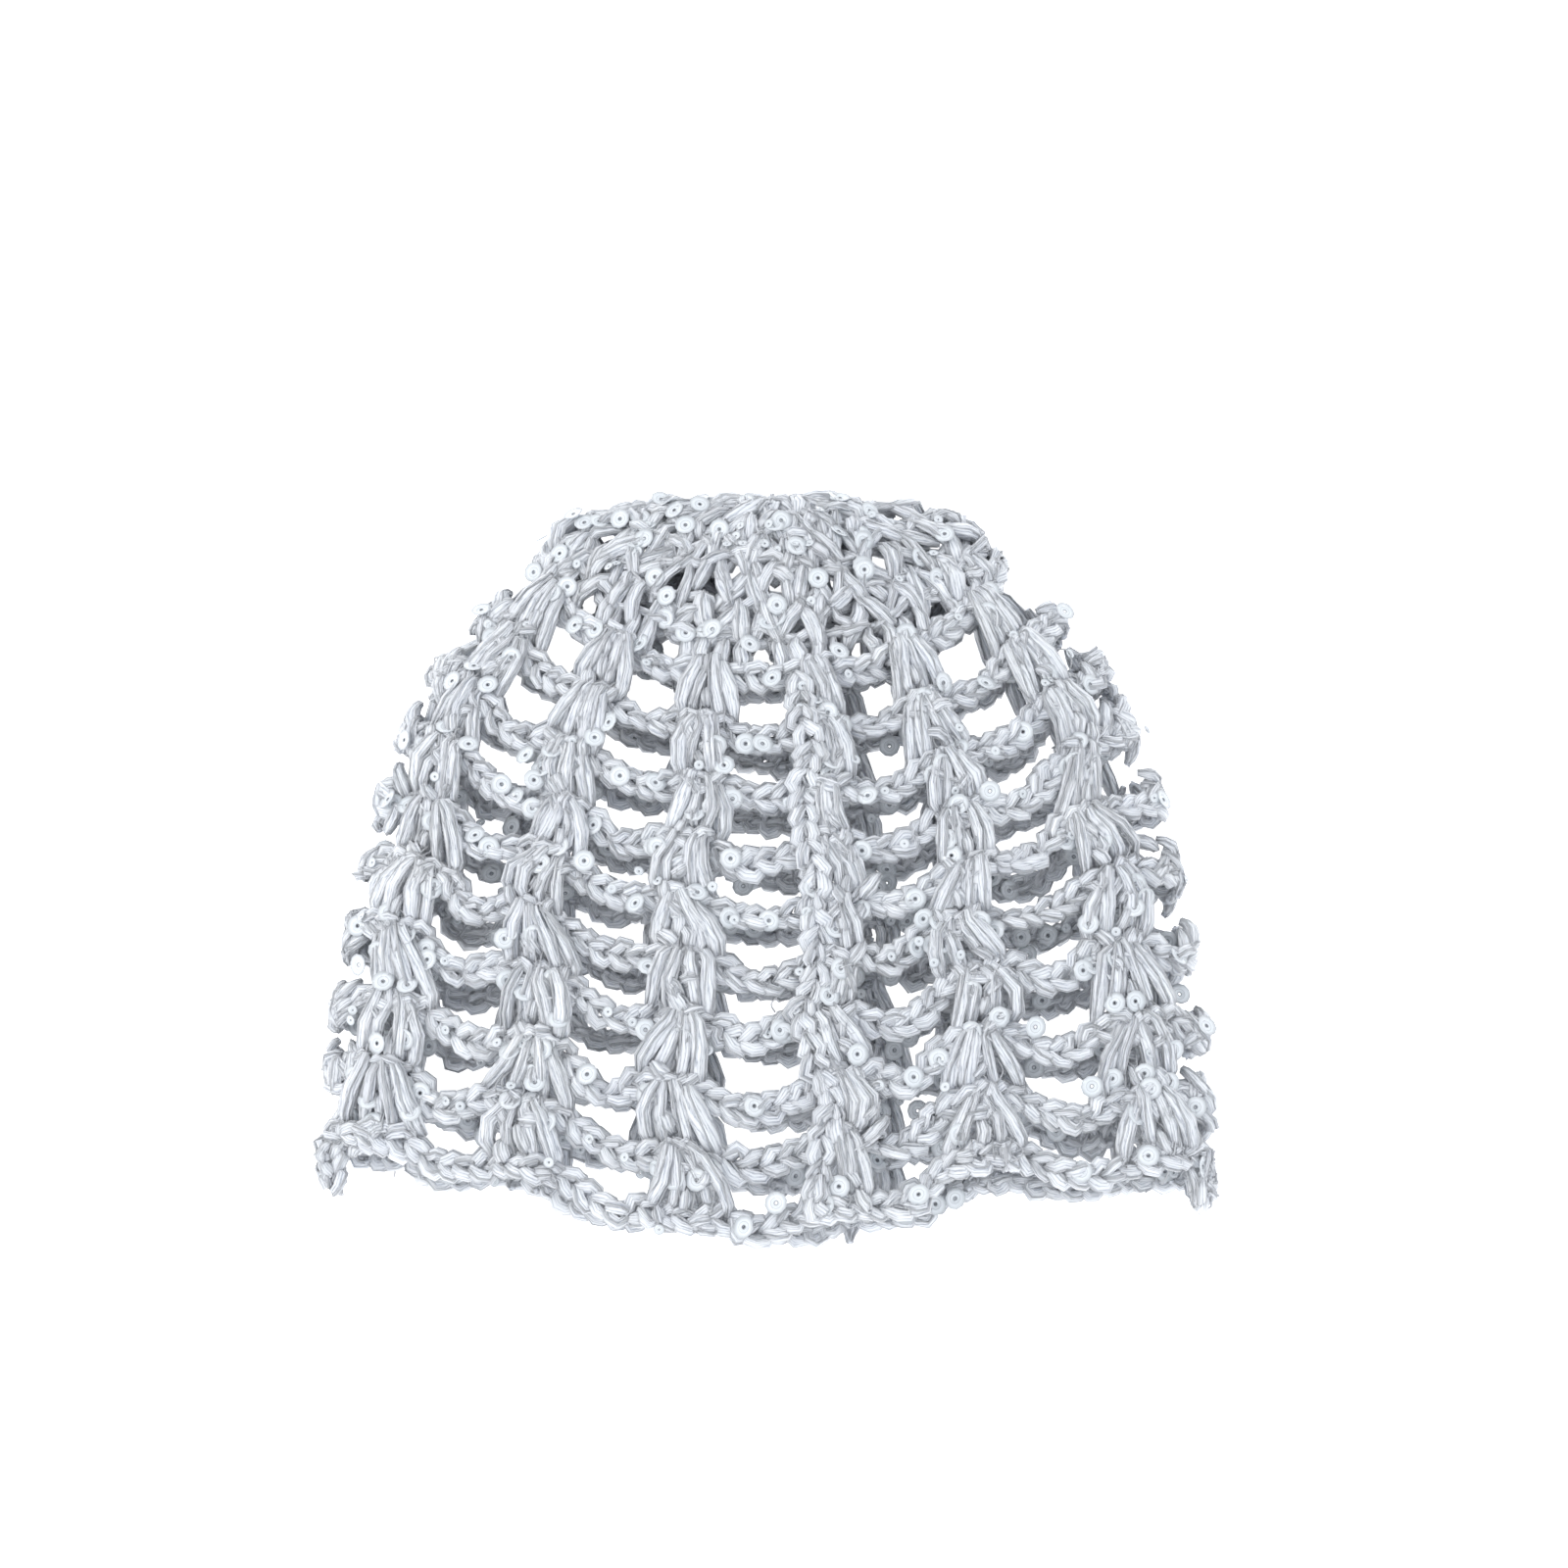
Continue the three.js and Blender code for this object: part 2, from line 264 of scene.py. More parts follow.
def hat_frame(rib, row, near=0.06):
    """Points of the middle surface, the outward directions there, and the millimetres per rib and per
    row, all from the points that lie near ribs or rows to either side."""
    along = hat(rib + near, row) - hat(rib - near, row)
    down = hat(rib, row + near) - hat(rib, row - near)
    per_rib = np.linalg.norm(along, axis=-1) / (2 * near)
    per_row = np.linalg.norm(down, axis=-1) / (2 * near)
    return hat(rib, row), unit(np.cross(down, along)), per_rib, per_row


# Small holes between the stitches in two rounds of the crown's front, by rib and row. The yarn of both
# layers is led past the photograph's line of sight to each hole, and some still have a stitch across.
HOLE_RIB = np.array([0.5, 1.55, 2.5, 3.55, 4.5, -0.1, 0.7, 1.35, 2.1, 2.7, 3.5, 4.3, 5.1])
HOLE_ROW = np.array([-0.36, -0.3, -0.38, -0.33, -0.4, -1.5, -1.6, -1.4, -1.65, -1.5, -1.45, -1.6, -1.4])
hole_middle, hole_out, _, _ = hat_frame(HOLE_RIB, HOLE_ROW)
hole_middle = hole_middle + 1.5 * hole_out
hole_way = unit(hole_middle - 1000 * np.array(VIEW_POINT))


def part_yarn(paths, reach):
    """Paths of shape (paths, points, 3) led past the holes. A path that comes closer to a hole's line
    than reach moves away from the line, in the direction of its nearest point, by what it lacks there
    times exp((least^2 - far^2) / (1.5 * reach)^2), where least is the distance of its nearest point and
    far that of each point."""
    each = np.arange(len(paths))
    for middle, way in zip(hole_middle, hole_way):
        off = paths - middle
        off = off - (off @ way)[..., None] * way
        far = np.linalg.norm(off, axis=-1)
        nearest = far.argmin(axis=1)
        least = far[each, nearest][:, None]
        lack = np.maximum(0, reach - least) * np.exp((least**2 - far**2) / (1.5 * reach) ** 2)
        paths = paths + unit(off[each, nearest])[:, None] * lack[..., None]
    return paths


def sweep(centre, across, up, wide, thick, bulge, turned, run, closed):
    """Tubes round centres of shape (tubes, steps, 3), as vertices, face corner lists and UVs. A corner
    lies wide * bulge * cos(turned) across and thick * bulge * sin(turned) outwards, with turned and
    bulge given for each corner; u runs round the tube and v is centimetres along, from run."""
    wide, thick = wide[..., None] * bulge * np.cos(turned), thick[..., None] * bulge * np.sin(turned)
    places = centre[:, :, None] + across[:, :, None] * wide[..., None] + up[:, :, None] * thick[..., None]
    tubes, steps, sides = wide.shape
    index = np.arange(tubes * steps * sides).reshape(tubes, steps, sides)
    upto = steps if closed else steps - 1
    here, there = index[:, :upto], np.roll(index, -1, axis=1)[:, :upto]
    quads = np.stack([here, np.roll(here, -1, 2), np.roll(there, -1, 2), there], axis=-1)
    u0 = np.broadcast_to(np.arange(sides) / sides, here.shape)
    u1 = u0 + 1 / sides
    v0 = np.broadcast_to(run[:, :upto, None] / 10, here.shape)
    v1 = np.broadcast_to(run[:, 1:upto + 1, None] / 10, here.shape)
    uv = np.stack([np.stack(pair, -1) for pair in ((u0, v0), (u1, v0), (u1, v1), (u0, v1))], axis=-2)
    groups = [(quads.reshape(-1, 4), uv.reshape(-1, 4, 2))]
    if not closed:
        caps = np.concatenate([index[:, 0, ::-1], index[:, -1, :]])
        groups.append((caps, np.zeros(caps.shape + (2,))))
    return places.reshape(-1, 3), groups


# The depth of the grooves between the strands of the yarn's body, as a share of its size, and the three
# corners of a single strand's section.
GROOVE_DEPTH = 0.22
STRAND_CORNERS = 2 * math.pi * np.arange(3) / 3


def bundle(paths, ups, half_width, half_thick, lobes, stray_strands, radius, seed, turn, closed=False):
    """Yarn swept along paths of shape (paths, points, 3): a body of strands laid side by side, whose
    section is an ellipse times 1 + GROOVE_DEPTH * cos(lobes * angle), and a few strands of the given
    radius that lie on it. They go round it at an angle that grows by turn for each millimetre, plus a
    slow seeded sine."""
    chance = np.random.default_rng(seed)
    count, steps, _ = paths.shape
    if closed:
        tangents = unit(np.roll(paths, -1, axis=1) - np.roll(paths, 1, axis=1))
        leaps = np.linalg.norm(np.roll(paths, -1, axis=1) - paths, axis=2)
    else:
        tangents = unit(np.gradient(paths, axis=1))
        leaps = np.linalg.norm(np.diff(paths, axis=1), axis=2)
    across = unit(np.cross(ups, tangents))
    up = np.cross(tangents, across)
    run = np.concatenate([np.zeros((count, 1)), np.cumsum(leaps, axis=1)], axis=1)
    length = run[:, -1:]
    share = run[:, :steps] / length

    # How far the bundle turns along each path, and the number of waves in which its strands wander.
    # Both are whole numbers of turns on a closed path, so that its ends meet.
    turned = turn * length * chance.uniform(0.4, 1.6, (count, 1))
    waves = chance.uniform(0.07, 0.12, (count, stray_strands)) * length + 0.5
    if closed:
        turned = 2 * math.pi * np.round(turned / (2 * math.pi))
        waves = np.round(waves)

    # The body: two corners to each lobe, with each lobe a little larger or smaller than the others.
    half_width, half_thick = (np.broadcast_to(size, (count, steps)) for size in (half_width, half_thick))
    sides = 2 * lobes
    corner = 2 * math.pi * np.arange(sides) / sides
    uneven = np.repeat(chance.normal(0, 0.07, (count, 1, lobes)), 2, axis=2)
    bulge = 1 + GROOVE_DEPTH * np.cos(lobes * corner) + uneven
    phase = chance.uniform(0, 2 * math.pi, (count, 1))
    body_turned = corner + (turned * share + phase)[:, :, None]
    body_run = run + chance.uniform(0, 90, (count, 1))
    body = sweep(paths, across, up, half_width, half_thick, bulge, body_turned, body_run, closed)

    def each(a):
        """Rows of a, once for each of a path's strands."""
        return np.repeat(a, stray_strands, axis=0)

    # The strands: spread round the body, at about its surface.
    tubes = count * stray_strands
    start = 2 * math.pi * (np.arange(stray_strands) + chance.normal(0, 0.15, (count, stray_strands)))
    angle = start.reshape(tubes, 1) / stray_strands + each(phase + turned * share)
    phases = chance.uniform(0, 2 * math.pi, (2, tubes, 1))
    wave = 0.22 * np.sin(2 * math.pi * waves.reshape(tubes, 1) * each(share) + phases)
    reach = chance.uniform(0.85, 1.12, (tubes, 1))
    aside = each(half_width) * reach * np.cos(angle) + wave[0]
    rise = each(half_thick) * reach * np.sin(angle) + wave[1]
    centre = each(paths) + each(across) * aside[..., None] + each(up) * rise[..., None]
    thick = np.broadcast_to(radius * chance.uniform(0.8, 1.2, (tubes, 1)), (tubes, steps))
    corners = np.broadcast_to(STRAND_CORNERS, (tubes, steps, 3))
    strand_run = each(run) + chance.uniform(0, 90, (tubes, 1))
    strands = sweep(
        centre, each(across), each(up), thick, thick, np.ones(3), corners, strand_run, closed)
    return [body, strands]


def curve_through(knots, steps):
    """Catmull-Rom through knots along axis 1, at evenly spaced knot values; the end knots repeat."""
    last = knots.shape[1] - 1
    at = np.linspace(0, last, steps)
    i = np.minimum(np.floor(at).astype(int), last - 1)
    t = (at - i)[None, :, None]
    return catmull_rom(*(knots[:, np.clip(i + k, 0, last)] for k in (-1, 0, 1, 2)), t)


LEAST_HEIGHT = 0.05


def build_piece(name, parts, material, node_names):
    """One mesh object from (vertices, [(faces, uvs), ...]) parts in millimetres, LEAST_HEIGHT or more
    above the surface, riding on the hat and standing for the named nodes."""
    vertices, corners, sizes, uvs = [], [], [], []
    offset = 0
    for places, groups in parts:
        for faces, uv in groups:
            corners.append((faces + offset).ravel())
            sizes.append(np.full(len(faces), faces.shape[1]))
            uvs.append(uv.reshape(-1, 2))
        vertices.append(places)
        offset += len(places)
    vertices = np.concatenate(vertices)
    vertices[:, 2] = np.maximum(vertices[:, 2], LEAST_HEIGHT)
    corners, sizes, uvs = np.concatenate(corners), np.concatenate(sizes), np.concatenate(uvs)
    mesh = bpy.data.meshes.new(name)
    mesh.vertices.add(len(vertices))
    mesh.vertices.foreach_set("co", (vertices / 1000).astype(np.float32).ravel())
    mesh.loops.add(len(corners))
    mesh.loops.foreach_set("vertex_index", corners.astype(np.int32))
    mesh.polygons.add(len(sizes))
    mesh.polygons.foreach_set("loop_start", np.concatenate([[0], np.cumsum(sizes)[:-1]]).astype(np.int32))
    mesh.polygons.foreach_set("use_smooth", np.ones(len(sizes), bool))
    layer = mesh.uv_layers.new(name="along_yarn")
    layer.data.foreach_set("uv", uvs.astype(np.float32).ravel())
    mesh.update(calc_edges=True)
    mesh.validate()
    mesh.materials.append(material)
    piece = bpy.data.objects.new(name, mesh)
    bpy.context.scene.collection.objects.link(piece)
    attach(piece, "root")
    if node_names:
        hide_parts(*node_names)


# One chain stitch, read along the chain: two legs rise from inside the last loop, spread into a V,
# close behind the next stitch's foot and run back underneath. Columns: along in stitches, across in
# half widths, out in half thicknesses, and the yarn's own thickness as a share: the legs puff up and
# the turns don't.
CHAIN_STITCH = np.array([
    [-0.05, -0.12, -0.30, 0.72],
    [0.32, -0.42, 0.66, 0.98],
    [0.86, -0.96, 0.50, 1.06],
    [1.28, -0.50, -0.20, 0.84],
    [1.28, 0.50, -0.20, 0.84],
    [0.86, 0.96, 0.50, 1.06],
    [0.32, 0.42, 0.66, 0.98],
    [-0.05, 0.12, -0.30, 0.72],
    [0.50, 0.00, -0.95, 0.58],
])
SAMPLES_PER_STITCH = 12
CHAIN_HALF_THICK = 1.3

# The yarn's thickness as a share of its width, the usual length of a stitch, and the room that a chain
# keeps from the small holes, in millimetres.
CHAIN_FLATNESS = 0.82
CHAIN_PITCH = 5.0
CHAIN_ROOM = 5.8

# How unlike the stitches are: each foot's place in stitches, the spread, lift and plumpness of each
# stitch as shares, and the place of each knot in millimetres.
FOOT_STRAY = 0.1
SPREAD_STRAY = 0.16
LIFT_STRAY = 0.14
PLUMP_STRAY = 0.09
KNOT_STRAY = 0.24


def chain(rib, row, out, pitch, closed, roll, seed, half_width=2.9, thick=1.8, unruly=1.0):
    """Yarn of a chain whose middle line runs through the given rib, row and outward values and keeps
    CHAIN_ROOM from the small holes. Its legs lie across and out from that line, turned by roll, with
    seeded strays from stitch to stitch that grow with unruly. The yarn is CHAIN_FLATNESS as thick as it
    is wide."""
    chance = np.random.default_rng(seed)
    middle, out_way, _, _ = hat_frame(rib, row)
    middle = middle + out_way * np.asarray(out)[..., None]
    for layer in (out_way[:, 2] > 0, out_way[:, 2] <= 0):
        if layer.any():
            middle[layer] = part_yarn(middle[layer][None], CHAIN_ROOM)[0]
    if closed:
        middle = np.concatenate([middle, middle[:1]])
        out_way = np.concatenate([out_way, out_way[:1]])
        roll = np.concatenate([roll, roll[:1]])
    ahead = unit(np.gradient(middle, axis=0))
    if closed:
        ahead[0] = ahead[-1] = unit(ahead[0] + ahead[-1])
    run = np.concatenate([[0], np.cumsum(np.linalg.norm(np.diff(middle, axis=0), axis=1))])
    stitches = int(round(run[-1] / pitch))
    foot = np.arange(stitches)[:, None] + FOOT_STRAY * chance.standard_normal((stitches, 1))
    at = (foot + CHAIN_STITCH[None, :, 0]).ravel() / stitches * run[-1]
    at = np.mod(at, run[-1]) if closed else np.clip(at, 0, run[-1])
    loosened = 1 + SPREAD_STRAY * unruly * chance.standard_normal((stitches, 1))
    spread = loosened * CHAIN_STITCH[None, :, 1] * half_width
    lifted = 1 + LIFT_STRAY * chance.standard_normal((stitches, 1))
    lift = lifted * CHAIN_STITCH[None, :, 2] * CHAIN_HALF_THICK
    swollen = 1 + PLUMP_STRAY * chance.standard_normal((stitches, 1))
    plump = swollen * CHAIN_STITCH[None, :, 3] * thick
    stray = KNOT_STRAY * unruly * chance.standard_normal((stitches * len(CHAIN_STITCH), 3))
    place, way, outward = (
        np.stack([np.interp(at, run, a[:, k]) for k in range(3)], -1) for a in (middle, ahead, out_way)
    )
    side = unit(np.cross(outward, way))
    turn = np.interp(at, run, roll)[:, None]
    turned_side = side * np.cos(turn) + outward * np.sin(turn)
    turned_out = outward * np.cos(turn) - side * np.sin(turn)
    knots = place + turned_side * spread.ravel()[:, None] + turned_out * lift.ravel()[:, None] + stray
    knots = np.concatenate([knots, turned_out, plump.reshape(-1, 1)], axis=1)
    total = len(knots)
    samples = stitches * SAMPLES_PER_STITCH
    t = np.arange(samples) * total / samples if closed else np.linspace(0, total - 1.001, samples)
    i = np.floor(t).astype(int)
    f = (t - i)[:, None]
    around = [(i + k) % total if closed else np.clip(i + k, 0, total - 1) for k in (-1, 0, 1, 2)]
    path = catmull_rom(*(knots[k] for k in around), f)[None]
    return bundle(
        path[..., :3], unit(path[..., 3:6]), path[..., 6], path[..., 6] * CHAIN_FLATNESS,
        lobes=4, stray_strands=2, radius=0.45, seed=seed, turn=0.08, closed=closed)


# A post's steps along its length, how far its knots stray in ribs, rows and millimetres outwards, how
# much its section tilts and its width varies, its least half width, and the room that it keeps from
# small holes.
POST_STEPS = 7
POST_STRAY = np.array([0.009, 0.018, 0.22])
POST_TILT = 0.35
POST_UNEVEN = 0.16
POST_LEAST = 0.35
POST_ROOM = 4.2


def posts(knots, wide, seed, strays=1.0):
    """Posts through knots of shape (posts, knots, 3) in (rib, row, out), wide half widths at the knots.
    Their strands leave the hole above in a point, swell side by side and sink under the chain below.
    The half thickness is 0.35 mm plus 0.6 of the half width."""
    chance = np.random.default_rng(seed)
    count, along, _ = knots.shape
    ease = np.linspace(0.4, 1, along)[None, :, None]
    knots = knots + strays * ease * chance.standard_normal(knots.shape) * POST_STRAY
    line = curve_through(knots, POST_STEPS)
    place, outward, _, _ = hat_frame(line[..., 0], line[..., 1])
    path = part_yarn(place + outward * line[..., 2:], POST_ROOM)
    tilt = POST_TILT * chance.standard_normal((count, 1, 1))
    way = unit(np.gradient(path, axis=1))
    ups = unit(outward + tilt * np.cross(outward, way))
    wide = np.broadcast_to(np.asarray(wide)[None, :, None], (count, along, 1))
    wide = curve_through(wide, POST_STEPS)[..., 0]
    wide = np.maximum(POST_LEAST, wide * (1 + POST_UNEVEN * chance.standard_normal((count, 1))))
    return bundle(
        path, ups, wide, 0.35 + wide * 0.6, lobes=6, stray_strands=4, radius=0.36, seed=seed, turn=0.03)


# A tuft from end to end: where its knots lie along it, how far out, and how plump it is there.
TUFT_ALONG = np.array([-0.5, -0.28, 0.05, 0.36, 0.55])
TUFT_OUT = np.array([-0.5, 0.75, 1.0, 0.7, -0.3])
TUFT_WIDE = np.array([0.6, 1.25, 1.75, 1.5, 0.7])


def tufts(rib, row, length, slant, rise, seed, plump=1.0):
    """Short loops of yarn that puff out of the stitches at rib and row values, length millimetres long,
    turned by slant from straight down, with their middles rise millimetres out."""
    _, _, per_rib, per_row = hat_frame(rib, row)
    along = TUFT_ALONG * length[:, None]
    out = TUFT_OUT * rise[:, None]
    aside = along * np.sin(slant)[:, None] / np.maximum(4, per_rib)[:, None]
    down = along * np.cos(slant)[:, None] / per_row[:, None]
    knots = np.stack([rib[:, None] + aside, row[:, None] + down, out], axis=-1)
    return posts(knots, plump * TUFT_WIDE, seed)


def freedom(out_way):
    """How freely stitches puff out: 1 where the fabric faces sideways or up, easing to 0 where it faces
    the surface that the hat lies on."""
    return np.clip((out_way[:, 2] + 0.9) / 0.9, 0, 1)


# A loose strand's radius in millimetres and its steps along its length.
LOOSE_RADIUS = 0.26
LOOSE_STEPS = 8


def loose_strands(knots):
    """Thin single strands through knots of shape (strands, knots, 3) in (rib, row, out)."""
    line = curve_through(knots, LOOSE_STEPS)
    place, outward, _, _ = hat_frame(line[..., 0], line[..., 1])
    path = place + outward * line[..., 2:]
    across = unit(np.cross(outward, np.gradient(path, axis=1)))
    run = np.cumsum(np.linalg.norm(np.diff(path, axis=1, prepend=path[:, :1]), axis=2), axis=1)
    size = np.full(path.shape[:2], LOOSE_RADIUS)
    corners = np.broadcast_to(STRAND_CORNERS, path.shape[:2] + (3,))
    return [sweep(path, across, outward, size, size, np.ones(3), corners, run, False)]


# Yarn surface: white cotton with a cool cast, grooves between its fine strands with painted shade that
# darkens the colour in them, and greyer patches.
yarn = bpy.data.materials.new("sequin_yarn")
yarn.use_nodes = True
nodes, links = yarn.node_tree.nodes, yarn.node_tree.links
yarn_shader = nodes["Principled BSDF"]
yarn_shader.inputs["Sheen Weight"].default_value = 0.3
yarn_shader.inputs["Sheen Roughness"].default_value = 0.45
yarn_shader.inputs["Specular IOR Level"].default_value = 0.5
yarn_shader.inputs["Subsurface Weight"].default_value = 0.4
yarn_shader.inputs["Subsurface Radius"].default_value = (1.0, 1.0, 1.0)
yarn_shader.inputs["Subsurface Scale"].default_value = 0.0016


def math_node(operation, *values):
    """The result of a Math node with numbers or sockets on its inputs."""
    node = nodes.new("ShaderNodeMath")
    node.operation = operation
    for socket, value in zip(node.inputs, values):
        feed(socket, value)
    return node.outputs[0]


def uv_parts():
    """The two numbers of the UV map along_yarn: for yarn, the share round it and centimetres along it,
    and for a sequin, 0 and the distance from its middle in radii."""
    uv_map = nodes.new("ShaderNodeUVMap")
    uv_map.uv_map = "along_yarn"
    split = nodes.new("ShaderNodeSeparateXYZ")
    links.new(uv_map.outputs["UV"], split.inputs[0])
    return split.outputs[0], split.outputs[1]


def range_node(value, sockets):
    """A Map Range node's result, with the named sockets set."""
    node = nodes.new("ShaderNodeMapRange")
    for name, setting in sockets.items():
        node.inputs[name].default_value = setting
    links.new(value, node.inputs["Value"])
    return node.outputs["Result"]


yarn_round, yarn_along = uv_parts()
strand_turn = math_node("MULTIPLY", yarn_round, 2 * math.pi)
fibre_place = nodes.new("ShaderNodeCombineXYZ")
links.new(math_node("MULTIPLY", math_node("COSINE", strand_turn), 1.5), fibre_place.inputs[0])
links.new(math_node("MULTIPLY", math_node("SINE", strand_turn), 1.5), fibre_place.inputs[1])
links.new(math_node("MULTIPLY", yarn_along, 0.6), fibre_place.inputs[2])
fibres = noise_node(fibre_place.outputs[0], 2.6, detail=3.0, roughness=0.6)
strand_twist = math_node("MULTIPLY", yarn_along, 3.0)
strand_phase = math_node("ADD", math_node("MULTIPLY", strand_turn, 7.0), strand_twist)
strand_phase = math_node("ADD", strand_phase, math_node("MULTIPLY", fibres, 6.0))
strand_groove = math_node("POWER", math_node("ABSOLUTE", math_node("SINE", strand_phase)), 0.5)
relief = math_node("ADD", strand_groove, math_node("MULTIPLY", fibres, 0.6))
yarn_bump = nodes.new("ShaderNodeBump")
yarn_bump.inputs["Strength"].default_value = 0.9
yarn_bump.inputs["Distance"].default_value = 0.00034
links.new(relief, yarn_bump.inputs["Height"])
links.new(yarn_bump.outputs["Normal"], yarn_shader.inputs["Normal"])
# Painted shade: the base colour runs from the yarn's white on the strands' crests to a darker grey-blue in
# the grooves between them, plus a little random tone from the fibre noise.
height = range_node(relief, {"From Min": 0.45, "From Max": 1.15})
fibre_tone_and_groove_shade = mix_node(height, (0.555, 0.59, 0.655, 1), (0.915, 0.94, 0.98, 1))
yarn_place = nodes.new("ShaderNodeTexCoord").outputs["Object"]
patches = noise_node(yarn_place, 55)
patch_range = nodes.new("ShaderNodeValToRGB")
patch_range.color_ramp.elements[0].position = 0.3
patch_range.color_ramp.elements[0].color = (0.93, 0.935, 0.955, 1)
patch_range.color_ramp.elements[1].position = 0.7
patch_range.color_ramp.elements[1].color = (1, 1, 1, 1)
links.new(patches, patch_range.inputs["Fac"])
patches_and_groove_shade = mix_node(1.0, fibre_tone_and_groove_shade, patch_range.outputs["Color"], "MULTIPLY")
links.new(patches_and_groove_shade, yarn_shader.inputs["Base Color"])
gloss = range_node(fibres, {"To Min": 0.66, "To Max": 0.46})
links.new(gloss, yarn_shader.inputs["Roughness"])

# The crown's rounds: the number of posts in each but the last, each round's depth in rows, and the
# round in which the posts stand in pairs with a small hole between pairs. Posts lean to the left and
# right by turns. A post's knots lie at shares of the round's depth and some millimetres out, with a
# half width for each. The first round meets in the centre and has shares and half widths of its own.
POSTS_IN_ROUND = [12, 24, 36, 48, 54, 60]
CROWN_STEP = 0.57
HOLED_ROUND = 4
CROWN_SHARE = np.array([-0.36, -0.16, 0.22, 0.75, 1.2])
CROWN_OUT = np.array([-1.0, 1.7, 2.7, 2.4, 0.2])
CROWN_WIDE = [0.6, 1.1, 2.0, 2.2, 1.1]
FIRST_SHARE = np.array([0.12, 0.2, 0.4, 0.7, 0.97])
FIRST_WIDE = [0.8, 1.3, 2.0, 2.6, 1.6]
CROWN_STRAYS = 2.4

# The chain edges' stitches are longer, narrower and thinner than those of a shell's chain, and looser.
EDGE_PITCH = 7.6
EDGE_OUT = 0.4
POINTS_A_RIB = 48
whole_round = np.linspace(0, RIBS, RIBS * POINTS_A_RIB + 1)[:-1]
crown_posts = []
crown_edges = []
chance = np.random.default_rng(50)
for number, amount in enumerate(POSTS_IN_ROUND):
    top = -4 + CROWN_STEP * number
    bottom = top + CROWN_STEP
    spacing = RIBS / amount
    place = np.arange(amount) + chance.normal(0, 0.16, amount)
    if number == HOLED_ROUND:
        place = place + np.where(np.arange(amount) % 2 == 0, 0.14, -0.14)
    at = place * spacing + 0.37 * number
    lean_way = np.where(np.arange(amount) % 2 == 0, 1, -1)
    lean = lean_way * (0.9 + 0.35 * chance.standard_normal(amount)) * spacing
    share = CROWN_SHARE if number else FIRST_SHARE
    rib = at[:, None] + lean[:, None] * (share[None, :] - 0.5)
    shift = chance.normal(0, 0.14 if number else 0, amount)[:, None]
    row = top + CROWN_STEP * (share[None, :] * (1 + chance.normal(0, 0.1, amount)[:, None]) + shift)
    out = CROWN_OUT[None, :] + chance.normal(0, 0.5, amount)[:, None]
    wide = CROWN_WIDE if number else FIRST_WIDE
    crown_posts.extend(posts(np.stack([rib, row, out], -1), wide, 100 + number, strays=CROWN_STRAYS))
    roll = 0.75 + 0.35 * np.sin(2 * math.pi * whole_round / RIBS * 5 + number)
    wave = 0.09 * np.sin(2 * math.pi * whole_round / RIBS * (7 + number) + 2 * number)
    crown_edges.extend(chain(
        whole_round, bottom - 0.03 + wave, np.full(len(whole_round), EDGE_OUT), EDGE_PITCH, True, roll,
        200 + number, half_width=2.1, thick=1.5, unruly=2.2))

# The crown's last round: four posts fan out at each rib and leave a hole between the ribs, and a firmer
# chain edges them.
LAST_PITCH = 5.2
LAST_OUT = 0.8
LAST_WIDE = [0.6, 1.0, 1.9, 2.2, 1.2]
fan = np.tile(np.array([-0.29, -0.10, 0.10, 0.29]), RIBS)
at = np.repeat(np.arange(RIBS), 4)
share = np.array([-0.3, -0.14, 0.2, 0.62, 1.0])
rib = at[:, None] + fan[:, None] * (1.05 - 0.1 * share[None, :])
row = np.broadcast_to(-0.58 + 0.5 * share[None, :], rib.shape)
out = np.broadcast_to(np.array([-1.2, 1.7, 2.5, 2.2, 0.1]), rib.shape)
crown_posts.extend(posts(np.stack([rib, row, out], -1), LAST_WIDE, 120, strays=CROWN_STRAYS))
roll = 0.5 + 0.35 * np.sin(whole_round * 2 * math.pi / RIBS * 4)
crown_edges.extend(chain(
    whole_round, np.full(len(whole_round), -0.13), np.full(len(whole_round), LAST_OUT), LAST_PITCH, True,
    roll, 220, unruly=1.8))

# Tufts of yarn puff up over the chain edges. They are spread round the crown by the golden section, and
# those that would hang over a hole of the last round sit higher.
CROWN_TUFTS = 150
HOLE_HALF_WIDTH = 0.26
HOLE_TOP_ROW = -0.85
TUFT_LIFT = 0.75
amount = CROWN_TUFTS
row = -3.7 + 3.5 * chance.uniform(0, 1, amount) ** 0.75
rib = RIBS * (np.arange(amount) * 0.618 % 1) + chance.normal(0, 0.1, amount)
over_hole = (np.abs(rib % 1 - 0.5) < HOLE_HALF_WIDTH) & (row > HOLE_TOP_ROW)
row = np.where(over_hole, row - TUFT_LIFT, row)
slant = np.where(np.arange(amount) % 2 == 0, 0.6, -0.6) + chance.normal(0, 0.35, amount)
_, way, _, _ = hat_frame(rib, row)
rise = (1.6 + 1.7 * freedom(way)) * chance.uniform(0.85, 1.15, amount)
crown_posts.extend(tufts(rib, row, chance.uniform(7.5, 11, amount), slant, rise, 130))
build_piece("crown_posts", crown_posts, yarn, ["crown_disc"])
build_piece("crown_edges", crown_edges, yarn, ["crown_disc"])

# Shell rounds, in the same yarn: twelve shells of four posts each, fanned from the hole of the shell
# above, and one chain that edges them and sags between them. The seam takes the place of the fourth
# rib's left posts. Tufts puff up on the shells and folds, and single strands stand loose.
SEAM_RIB = 3
TUFTS_A_RIB = 5
FOLD_RIBS = (5.56, 11.56)
FOLD_TUFTS = 9
LOOSE_STRANDS = 60
SHELL_WIDE = [0.75, 1.15, 1.75, 2.15, 1.3]
SHELL_STRAYS = 2.2
LAST_SWAG = 0.8

# Loops that hang from the corners of the hem: the rib, the half width in ribs and the drop in rows.
CORNER_LOOPS = ((11.62, 0.07, 0.85), (5.56, 0.13, 0.4))

